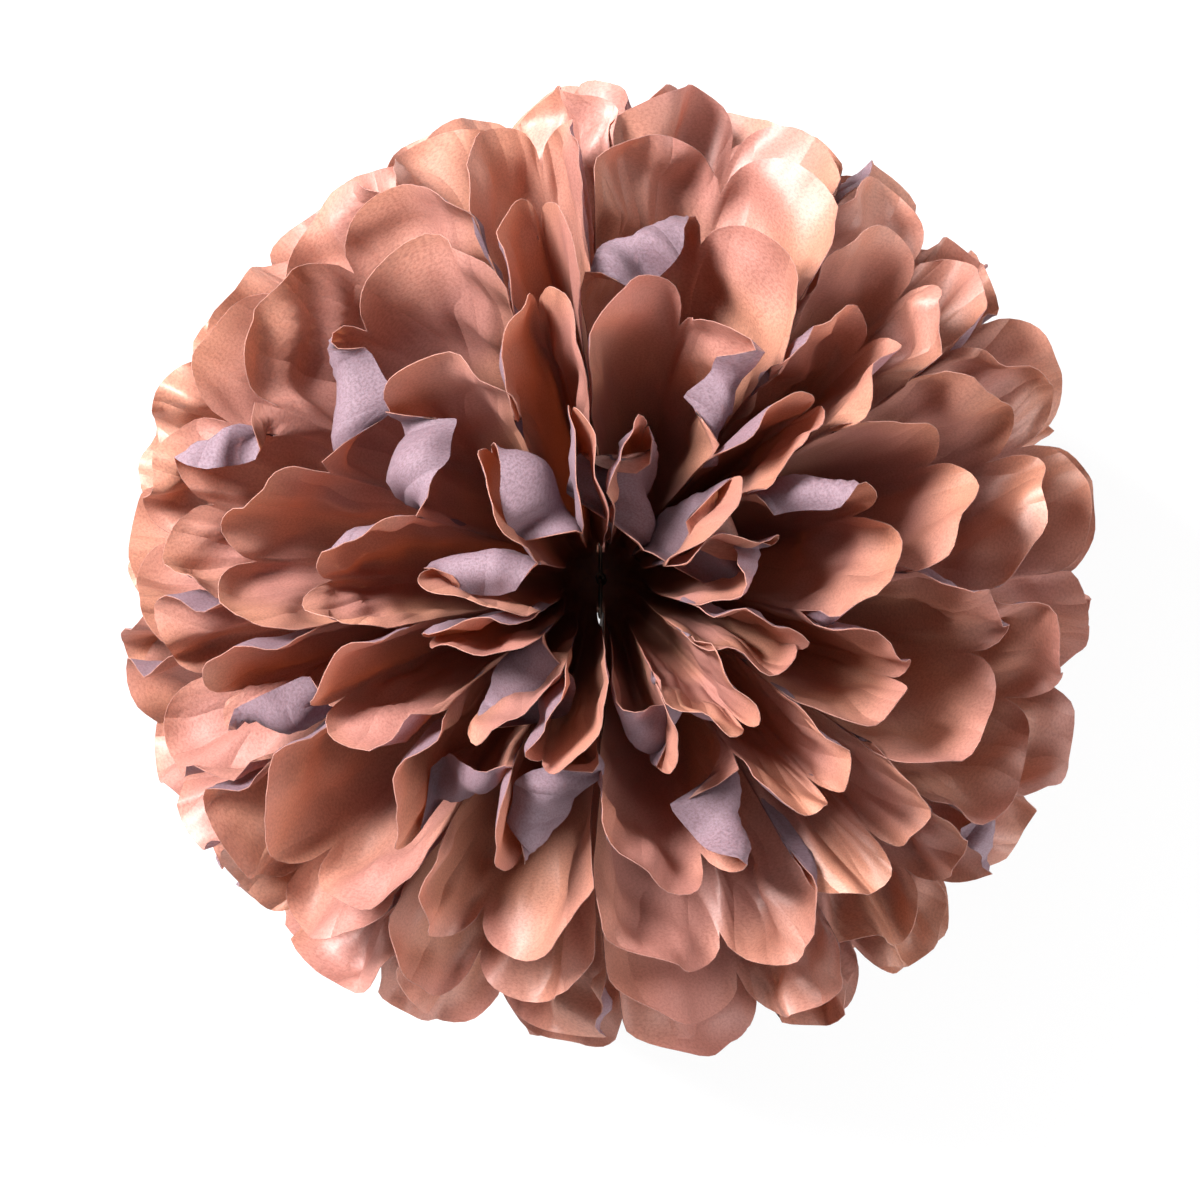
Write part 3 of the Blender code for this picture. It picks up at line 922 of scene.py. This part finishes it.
@dataclass(frozen=True)
class PaperFinish:
    """A tissue finish: clouds of two colours, fibres, creases, and some light through.

    Each pattern's scale is 1 over its size, because the flat coordinates are in metres.

    Attributes:
        name: Name of the material.
        shade: Colour of most of the paper.
        warm: Colour of the clouds in it. On the printed side it is painted glow, the orange of light
        through the paper painted at random places; on the other faces it is the paper's own tone.
        dark: Colour of its darkest fibres.
        through: Colour of light that comes through.
        see: Share of light that comes through.
        rough: Roughness.
        metal: Metallic share.
        crease: Depth of the creases in metres.
        fibre_size: Width of a fibre's fleck. Real ones are 0.1 mm wide, too fine to show.
        cloud_size: Width of a cloud, about a petal's.
        crease_width: Spacing of the creases across a petal.
        crease_length: Their length along it.
        cloud_range: Where the clouds' noise begins and ends to be warm.
        fibre_range: Where the fibres' noise begins and ends to be dark.
        fibre_share: How far the darkest fibres take on their colour.
        gloss: Strength of the sheen.
    """

    name: str
    shade: str
    warm: str
    dark: str
    through: str
    see: float
    rough: float
    metal: float
    crease: float = 0.009
    fibre_size: float = 0.6 * MM
    cloud_size: float = 38 * MM
    crease_width: float = 10 * MM
    crease_length: float = 52 * MM
    cloud_range: tuple[float, float] = (0.35, 0.65)
    fibre_range: tuple[float, float] = (0.36, 0.70)
    fibre_share: float = 0.6
    gloss: float = 0.7

    def clouded(
        self, tree: bpy.types.NodeTree, flat: bpy.types.NodeSocket, fibre: bpy.types.NodeSocket
    ) -> bpy.types.Node:
        """The paper's colour.

        Clouds as wide as a petal mix the shade with the warm colour, which on the printed side
        is painted glow of light through the paper, and where the fibres' noise is high the dark
        colour is mixed in.

        Args:
            tree: Node tree of the material.
            flat: Places on the flat paper.
            fibre: The fibres' noise.

        Returns:
            A node whose third output is the colour.
        """
        cloud = add_node(
            tree, "ShaderNodeTexNoise",
            {"noise_dimensions": "2D", "Scale": 1.0 / self.cloud_size, "Detail": 1.0}, {"Vector": flat},
        )
        # Painted glow: where the clouds' noise is high, the second colour is mixed in; on the printed side
        # it stands for light through the paper
        glow_and_tone_share = add_node(
            tree, "ShaderNodeMapRange",
            {"From Min": self.cloud_range[0], "From Max": self.cloud_range[1]},
            {"Value": cloud.outputs["Fac"]},
        )
        body = add_node(
            tree, "ShaderNodeMix", {"data_type": "RGBA", 6: linear(self.shade), 7: linear(self.warm)},
            {0: glow_and_tone_share.outputs[0]},
        )
        depth = add_node(
            tree, "ShaderNodeMapRange",
            {
                "From Min": self.fibre_range[0], "From Max": self.fibre_range[1],
                "To Max": self.fibre_share,
            },
            {"Value": fibre},
        )
        return add_node(
            tree, "ShaderNodeMix", {"data_type": "RGBA", 7: linear(self.dark)},
            {0: depth.outputs[0], 6: body.outputs[2]},
        )

    def creased(self, tree: bpy.types.NodeTree, flat: bpy.types.NodeSocket) -> bpy.types.Node:
        """The height of the creases, which are sharp where a noise crosses its middle value.

        The absolute difference from 0.5 is a V there. The noise is drawn out along
        the petal, and its height is multiplied by the sheet's handling.

        Args:
            tree: Node tree of the material.
            flat: Places on the flat paper.

        Returns:
            A node whose output is the height.
        """
        stretch = (1.0 / self.crease_width, 1.0 / self.crease_length, 0.0)
        place = add_node(
            tree, "ShaderNodeVectorMath", {"operation": "MULTIPLY", 1: stretch}, {0: flat}
        )
        noise = add_node(
            tree, "ShaderNodeTexNoise",
            {"noise_dimensions": "2D", "Scale": 1.0, "Detail": 0.6}, {"Vector": place.outputs[0]},
        )
        off = add_node(
            tree, "ShaderNodeMath", {"operation": "SUBTRACT", 1: 0.5}, {0: noise.outputs["Fac"]}
        )
        sharp = add_node(tree, "ShaderNodeMath", {"operation": "ABSOLUTE"}, {0: off.outputs[0]})
        handled = add_node(tree, "ShaderNodeAttribute", {"attribute_name": "handling"})
        return add_node(
            tree, "ShaderNodeMath", {"operation": "MULTIPLY"},
            {0: sharp.outputs[0], 1: handled.outputs["Fac"]},
        )

    def make(self) -> bpy.types.Material:
        """Makes the material.

        The relief is the creases' height; the fibres only colour it.

        Returns:
            The material.
        """
        material = bpy.data.materials.new(self.name)
        material.use_nodes = True
        tree = material.node_tree
        tree.nodes.clear()
        flat = add_node(tree, "ShaderNodeUVMap", {"uv_map": "paper"})
        fibre = add_node(
            tree, "ShaderNodeTexNoise",
            {
                "noise_dimensions": "2D", "Scale": 1.0 / self.fibre_size,
                "Detail": 2.0, "Roughness": 0.75,
            },
            {"Vector": flat.outputs[0]},
        )
        colour = self.clouded(tree, flat.outputs[0], fibre.outputs["Fac"])
        height = self.creased(tree, flat.outputs[0])
        bump = add_node(
            tree, "ShaderNodeBump",
            {"Strength": 1.0, "Distance": self.crease}, {"Height": height.outputs[0]},
        )
        surface = add_node(
            tree, "ShaderNodeBsdfPrincipled",
            {"Roughness": self.rough, "Metallic": self.metal, "Specular IOR Level": self.gloss},
            {"Base Color": colour.outputs[2], "Normal": bump.outputs["Normal"]},
        )
        glow = add_node(tree, "ShaderNodeBsdfTranslucent", {"Color": linear(self.through)})
        both = add_node(
            tree, "ShaderNodeMixShader", {0: self.see}, {1: surface.outputs[0], 2: glow.outputs[0]}
        )
        add_node(tree, "ShaderNodeOutputMaterial", {}, {"Surface": both.outputs[0]})
        return material


FINISHES: dict[PaperFace, PaperFinish] = {
    # Tissue with a thin coat of ink that holds a little metal: a warm rose brown, faintly
    # flecked, that glows orange where light comes through and has a soft sheen at its bends.
    # Its orange clouds are painted glow, light through the paper painted at random places
    PaperFace.PRINTED: PaperFinish(
        "printed_tissue", "bb8479", "c88e75", "845249", "dc8c62", see=0.34, rough=0.50, metal=0.05
    ),
    # The same tissue without ink: a dull greyish lilac whose fibres show as flecks
    PaperFace.BARE: PaperFinish(
        "bare_tissue", "7e6872", "8c7782", "432f3a", "c08468", see=0.34, rough=0.80, metal=0.0
    ),
    # Its cut edge: torn fibre ends without ink, a thin matt line round every petal. Its colour is
    # painted shade, darker than the print, so that its faces, which catch the light from above,
    # show no pale line
    PaperFace.CUT: PaperFinish(
        "cut_edge", "96695f", "9e7062", "704a42", "b07858", see=0.15, rough=0.90, metal=0.0
    ),
}


@dataclass(frozen=True)
class SteelFinish:
    """Drawn steel wire, dulled by handling: a grey thread with a blurred shine.

    Attributes:
        name: Name of the material.
        colour: Colour of its reflections.
        rough: Roughness.
    """

    name: str = "steel_wire"
    colour: str = "8c8076"
    rough: float = 0.5

    def make(self) -> bpy.types.Material:
        """Makes the material.

        Returns:
            The material.
        """
        material = bpy.data.materials.new(self.name)
        material.use_nodes = True
        surface = material.node_tree.nodes["Principled BSDF"]
        surface.inputs["Base Color"].default_value = linear(self.colour)
        surface.inputs["Metallic"].default_value = 1.0
        surface.inputs["Roughness"].default_value = self.rough
        return material


@dataclass(frozen=True)
class WireTie:
    """The wire: up one strand of the twist, round the waist, and back up the other.

    Attributes:
        radius: Radius of the wire.
        clearance: Gap between the wire and what it holds.
        stack: Height of the stack of sheets at the waist.
        length: Length of the twisted end.
        turns: Turns of the twist.
        bend: Radius of the loop's corners.
        sides: Points round the wire.
        strand_steps: Points along one wire of the twist.
        corner_steps: Points along a corner of the loop.
    """

    radius: float = 0.0005
    clearance: float = 0.0003
    stack: float = 0.0092
    length: float = 0.016
    turns: float = 2.5
    bend: float = 0.0014
    sides: int = 10
    strand_steps: int = 61
    corner_steps: int = 7

    def strand(self, base: float, side: float) -> np.ndarray:
        """One wire of the twist, a helix.

        Args:
            base: Height of its lower end.
            side: 1 for the wire that starts at +Y, -1 for the other.

        Returns:
            Its points, from the base upwards.
        """
        along = np.linspace(0.0, 1.0, self.strand_steps)
        angle = side * math.pi / 2 + 2.0 * math.pi * self.turns * along
        reach = self.radius + self.clearance
        return np.stack([reach * np.cos(angle), reach * np.sin(angle), base + self.length * along], axis=1)

    def corner(self, y: float, z: float, start: float) -> np.ndarray:
        """A corner of the loop, a quarter turn clockwise in the plane of the slit.

        Args:
            y: Middle of the turn.
            z: Its height.
            start: Angle at which it starts, in degrees.

        Returns:
            Its points.
        """
        angle = np.radians(start - 90.0 * np.linspace(0.0, 1.0, self.corner_steps))
        return np.stack([0.0 * angle, y + self.bend * np.cos(angle), z + self.bend * np.sin(angle)], axis=1)

    def path(self, ball: Ball) -> np.ndarray:
        """The middle line of the wire.

        Args:
            ball: Sizes of the ball.

        Returns:
            Its points, from one end of the twist round the waist to the other.
        """
        seat = self.clearance + self.radius
        leg_z = self.stack / 2 + seat
        leg_y = ball.waist_radius + (ball.sheets_per_side - 1) * ball.layer_pitch + seat
        z, y = leg_z - self.bend, leg_y - self.bend
        top, near = leg_z + self.bend, seat + 0.5 * self.bend
        return np.concatenate(
            [
                self.strand(top, 1.0)[::-1],
                [[0.0, near, leg_z]],
                self.corner(y, z, 90.0), self.corner(y, -z, 0.0),
                self.corner(-y, -z, -90.0), self.corner(-y, z, -180.0),
                [[0.0, -near, leg_z]],
                self.strand(top, -1.0),
            ]
        )

    def build(self, ball: Ball, steel: bpy.types.Material) -> bpy.types.Object:
        """Sweeps a circle along the path and closes both ends.

        Each circle's first radius is the one before it, less its part along the path.

        Args:
            ball: Sizes of the ball.
            steel: Finish of the wire.

        Returns:
            The piece.
        """
        line = self.path(ball)
        line[:, 2] += ball.stand_height
        way = unit(np.gradient(line, axis=0))
        side = np.zeros_like(line)
        side[0] = unit(np.cross(way[0], [1.0, 0.0, 0.0]))
        for step in range(1, len(line)):
            side[step] = unit(side[step - 1] - way[step] * (side[step - 1] @ way[step]))
        other = np.cross(way, side)
        turn = 2.0 * math.pi * np.arange(self.sides) / self.sides
        ring = np.cos(turn)[None, :, None] * side[:, None] + np.sin(turn)[None, :, None] * other[:, None]
        places = line[:, None] + self.radius * ring
        index = np.arange(len(line) * self.sides).reshape(len(line), self.sides)
        after = np.roll(index, -1, axis=1)
        quads = np.stack([index[:-1], after[:-1], after[1:], index[1:]], axis=-1).reshape(-1, 4)
        caps = [tuple(index[0, ::-1]), tuple(index[-1])]
        mesh = bpy.data.meshes.new("wire_tie")
        mesh.from_pydata(places.reshape(-1, 3), [], [*map(tuple, quads), *caps])
        mesh.materials.append(steel)
        mesh.shade_smooth()
        piece = bpy.data.objects.new("wire_tie", mesh)
        bpy.context.scene.collection.objects.link(piece)
        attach(piece, "root")
        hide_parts("tie_wire")
        LOG.info("wire_tie: %d faces", len(mesh.polygons))
        return piece


@dataclass(frozen=True)
class Table:
    """A matt white table, which the camera sees almost plain white.

    Attributes:
        size: Length of its sides.
        grey: Share of light that it throws back.
        white: Share of plain white in what the camera and reflections see.
    """

    size: float = 20.0
    grey: float = 0.86
    white: float = 0.8

    def build(self) -> None:
        """Makes the table and its finish, matt paint mixed with plain white."""
        bpy.ops.mesh.primitive_plane_add(size=self.size, location=(0.0, 0.0, 0.0))
        floor = bpy.context.object
        floor.name = "table"
        material = bpy.data.materials.new("white_table")
        material.use_nodes = True
        tree = material.node_tree
        tree.nodes.clear()
        matt = add_node(
            tree, "ShaderNodeBsdfDiffuse", {"Color": (self.grey, self.grey, self.grey, 1.0)}
        )
        light = add_node(tree, "ShaderNodeEmission", {"Strength": 1.0})
        path = add_node(tree, "ShaderNodeLightPath")
        seen = add_node(
            tree, "ShaderNodeMath", {"operation": "MAXIMUM"},
            {0: path.outputs["Is Camera Ray"], 1: path.outputs["Is Glossy Ray"]},
        )
        most = add_node(
            tree, "ShaderNodeMath", {"operation": "MULTIPLY", 1: self.white}, {0: seen.outputs[0]}
        )
        both = add_node(
            tree, "ShaderNodeMixShader", {},
            {0: most.outputs[0], 1: matt.outputs[0], 2: light.outputs[0]},
        )
        add_node(tree, "ShaderNodeOutputMaterial", {}, {"Surface": both.outputs[0]})
        floor.data.materials.append(material)


@dataclass(frozen=True)
class Lamp:
    """A square area lamp.

    Attributes:
        name: Its name.
        place: Where it stands.
        size: Length of its sides.
        power: Its power in watts.
    """

    name: str
    place: tuple[float, float, float]
    size: float
    power: float

    def build(self, target: Vector) -> None:
        """Makes the lamp, with its front towards the target.

        Args:
            target: The point that it lights.
        """
        lamp = bpy.data.lights.new(self.name, "AREA")
        lamp.size = self.size
        lamp.energy = self.power
        obj = bpy.data.objects.new(self.name, lamp)
        obj.location = self.place
        obj.rotation_euler = (target - Vector(self.place)).to_track_quat("-Z", "Y").to_euler()
        bpy.context.scene.collection.objects.link(obj)


@dataclass(frozen=True)
class Studio:
    """A soft lamp at the upper left, a weaker one opposite, and white surroundings.

    Attributes:
        lamps: The lamps.
        horizon: Strength of the surroundings at the horizon.
        zenith: Their strength overhead.
    """

    lamps: tuple[Lamp, ...] = (
        Lamp("key", (-0.75, 0.55, 1.05), size=0.4, power=62.0),
        Lamp("fill", (0.9, -0.5, 0.7), size=0.8, power=11.0),
    )
    horizon: float = 2.0
    zenith: float = 0.15

    def build(self, ball: Ball) -> None:
        """Makes the lamps and the surroundings.

        The surroundings are brightest at the horizon, so that the outer petals
        are lit from outside and the hollow stays dark: the strength is a straight
        line in the height of the direction. The camera sees them plain white.

        Args:
            ball: Sizes of the ball.
        """
        centre = Vector((0.0, 0.0, ball.stand_height))
        for lamp in self.lamps:
            lamp.build(centre)
        world = bpy.data.worlds.new("studio")
        world.use_nodes = True
        tree = world.node_tree
        way = add_node(tree, "ShaderNodeTexCoord")
        parts = add_node(tree, "ShaderNodeSeparateXYZ", {}, {0: way.outputs["Generated"]})
        strength = add_node(
            tree, "ShaderNodeMapRange",
            {"From Min": 0.0, "From Max": 1.0, "To Min": self.horizon, "To Max": self.zenith},
            {"Value": parts.outputs["Z"]},
        )
        path = add_node(tree, "ShaderNodeLightPath")
        shown = add_node(
            tree, "ShaderNodeMath", {"operation": "ADD"},
            {0: strength.outputs["Result"], 1: path.outputs["Is Camera Ray"]},
        )
        background = tree.nodes["Background"]
        background.inputs["Color"].default_value = (1.0, 1.0, 1.0, 1.0)
        tree.links.new(shown.outputs[0], background.inputs["Strength"])
        bpy.context.scene.world = world


@dataclass(frozen=True)
class PhotoView:
    """The photograph's view: almost straight down the upper pole, with +Y at the top.

    Attributes:
        distance: Distance of the camera from the ball's centre.
        lean_x: Angle that it leans over to +X.
        lean_y: Angle that it leans over to +Y.
        shift: How far the picture is moved up.
        lens: Focal length in millimetres.
        sensor: Width of the sensor in millimetres.
        near: Nearest distance that it sees.
    """

    distance: float = 0.70
    lean_x: float = math.radians(-1.2)
    lean_y: float = math.radians(3.8)
    shift: float = -6.2 * MM
    lens: float = 82.3
    sensor: float = 36.0
    near: float = 0.01

    def build(self, ball: Ball) -> None:
        """Makes the camera, square to the line from the ball's centre to it.

        Args:
            ball: Sizes of the ball.
        """
        centre = Vector((0.0, 0.0, ball.stand_height))
        away = Vector((math.sin(self.lean_x), math.sin(self.lean_y), math.cos(self.lean_y))).normalized()
        across = Vector((0.0, 1.0, 0.0)).cross(away).normalized()
        turn = Matrix((across, away.cross(across), away)).transposed()
        camera = bpy.data.cameras.new("camera")
        camera.sensor_width = self.sensor
        camera.lens = self.lens
        camera.clip_start = self.near
        obj = bpy.data.objects.new("camera", camera)
        obj.location = centre + self.distance * away + turn @ Vector((0.0, self.shift, 0.0))
        obj.rotation_euler = turn.to_euler()
        bpy.context.scene.collection.objects.link(obj)
        bpy.context.scene.camera = obj


def main() -> None:
    """Builds every piece, the studio and the camera."""
    logging.basicConfig(level=logging.INFO, format="%(message)s")
    bpy.context.scene.view_settings.view_transform = "Standard"
    ball = Ball()
    stack = Unevenness(ball.pleats, ball.seed)
    finishes = {face: finish.make() for face, finish in FINISHES.items()}
    for number in range(ball.sheets):
        form = SheetForm(ball, number, stack)
        TissueSheet(form, rolls_of(number)).build(finishes)
    WireTie().build(ball, SteelFinish().make())
    Table().build()
    Studio().build(ball)
    PhotoView().build(ball)


if __name__ == "__main__":
    main()
